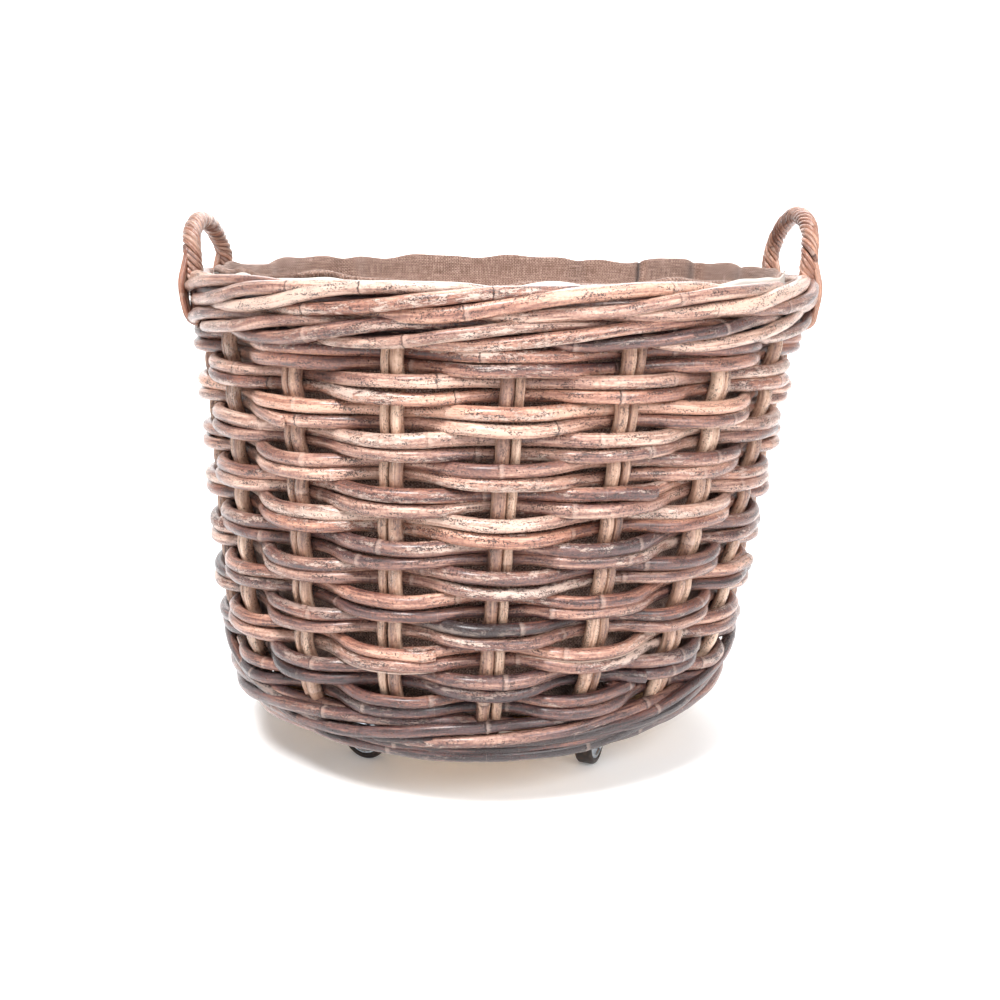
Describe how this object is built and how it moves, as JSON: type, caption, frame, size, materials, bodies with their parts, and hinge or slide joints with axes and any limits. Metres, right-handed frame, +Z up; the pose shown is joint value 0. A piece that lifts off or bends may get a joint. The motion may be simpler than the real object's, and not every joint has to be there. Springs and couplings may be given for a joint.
{
  "type": "log basket",
  "caption": "Round woven cane log basket with a hessian liner, two roped handles and swivel castors under a plywood base.",
  "frame": {"origin": "on the floor under the centre of the rim", "axes": "+Z up out of the basket's mouth, +X from the left handle to the right handle, -Y to the front"},
  "size_m": [0.6434, 0.6402, 0.548],
  "materials": {
    "stake_cane": "satin peeled cane",
    "woven_cane": "satin cane with its bark on",
    "dark_cane": "satin dark cane",
    "border_cane": "satin cane with its bark on",
    "handle_cane": "satin peeled cane",
    "plywood": "bare plywood",
    "hessian": "coarse plain-woven jute",
    "hem_cloth": "plain white cloth",
    "castor_wheel": "matt dark rubber on a plastic hub",
    "zinc_steel": "zinc plated"
  },
  "bodies": {
    "basket": {"base_board": "plywood", "castor_plate_front_left": "zinc_steel", "castor_plate_front_right": "zinc_steel", "castor_plate_rear_left": "zinc_steel", "castor_plate_rear_right": "zinc_steel", "foot_border": "dark_cane", "foot_wale": "dark_cane", "handle_bow_left": "handle_cane", "handle_bow_right": "handle_cane", "handle_rope_left": "handle_cane", "handle_rope_right": "handle_cane", "hessian_liner": "hessian", "liner_hem": "hem_cloth", "rim_border": "border_cane", "stake_pair_01": "stake_cane", "stake_pair_02": "stake_cane", "stake_pair_03": "stake_cane", "stake_pair_04": "stake_cane", "stake_pair_05": "stake_cane", "stake_pair_06": "stake_cane", "stake_pair_07": "stake_cane", "stake_pair_08": "stake_cane", "stake_pair_09": "stake_cane", "stake_pair_10": "stake_cane", "stake_pair_11": "stake_cane", "stake_pair_12": "stake_cane", "stake_pair_13": "stake_cane", "stake_pair_14": "stake_cane", "stake_pair_15": "stake_cane", "stake_pair_16": "stake_cane", "stake_pair_17": "stake_cane", "stake_pair_18": "stake_cane", "top_wale": "border_cane", "weave_row_01": "woven_cane", "weave_row_02": "woven_cane", "weave_row_03": "woven_cane", "weave_row_04": "woven_cane", "weave_row_05": "woven_cane", "weave_row_06": "woven_cane", "weave_row_07": "woven_cane", "weave_row_08": "woven_cane", "weave_row_09": "woven_cane", "weave_row_10": "woven_cane", "weave_row_11": "woven_cane", "weave_row_12": "woven_cane", "weave_row_13": "woven_cane", "weave_row_14": "woven_cane"},
    "castor_swivel_front_left": {"castor_fork_front_left": "zinc_steel", "castor_axle_front_left": "zinc_steel"},
    "castor_roller_front_left": {"castor_wheel_front_left": "castor_wheel"},
    "castor_swivel_front_right": {"castor_fork_front_right": "zinc_steel", "castor_axle_front_right": "zinc_steel"},
    "castor_roller_front_right": {"castor_wheel_front_right": "castor_wheel"},
    "castor_swivel_rear_right": {"castor_fork_rear_right": "zinc_steel", "castor_axle_rear_right": "zinc_steel"},
    "castor_roller_rear_right": {"castor_wheel_rear_right": "castor_wheel"},
    "castor_swivel_rear_left": {"castor_fork_rear_left": "zinc_steel", "castor_axle_rear_left": "zinc_steel"},
    "castor_roller_rear_left": {"castor_wheel_rear_left": "castor_wheel"}
  },
  "joints": [
    {"name": "swivel_front_left", "type": "hinge", "parent": "basket", "child": "castor_swivel_front_left", "pos_m": [-0.14384, -0.12162, 0.055], "axis": [0, 0, 1], "continuous": true},
    {"name": "roll_front_left", "type": "hinge", "parent": "castor_swivel_front_left", "child": "castor_roller_front_left", "pos_m": [-0.12934, -0.12838, 0.02452], "axis": [0.4226, 0.9063, 0], "continuous": true},
    {"name": "swivel_front_right", "type": "hinge", "parent": "basket", "child": "castor_swivel_front_right", "pos_m": [0.0994, -0.12162, 0.055], "axis": [0, 0, 1], "continuous": true},
    {"name": "roll_front_right", "type": "hinge", "parent": "castor_swivel_front_right", "child": "castor_roller_front_right", "pos_m": [0.09341, -0.13646, 0.02452], "axis": [0.9272, -0.3746, 0], "continuous": true},
    {"name": "swivel_rear_right", "type": "hinge", "parent": "basket", "child": "castor_swivel_rear_right", "pos_m": [0.0994, 0.12162, 0.055], "axis": [0, 0, 1], "continuous": true},
    {"name": "roll_rear_right", "type": "hinge", "parent": "castor_swivel_rear_right", "child": "castor_roller_rear_right", "pos_m": [0.08555, 0.12962, 0.02452], "axis": [-0.5, -0.866, 0], "continuous": true},
    {"name": "swivel_rear_left", "type": "hinge", "parent": "basket", "child": "castor_swivel_rear_left", "pos_m": [-0.14384, 0.12162, 0.055], "axis": [0, 0, 1], "continuous": true},
    {"name": "roll_rear_left", "type": "hinge", "parent": "castor_swivel_rear_left", "child": "castor_roller_rear_left", "pos_m": [-0.13584, 0.13548, 0.02452], "axis": [-0.866, 0.5, 0], "continuous": true}
  ]
}
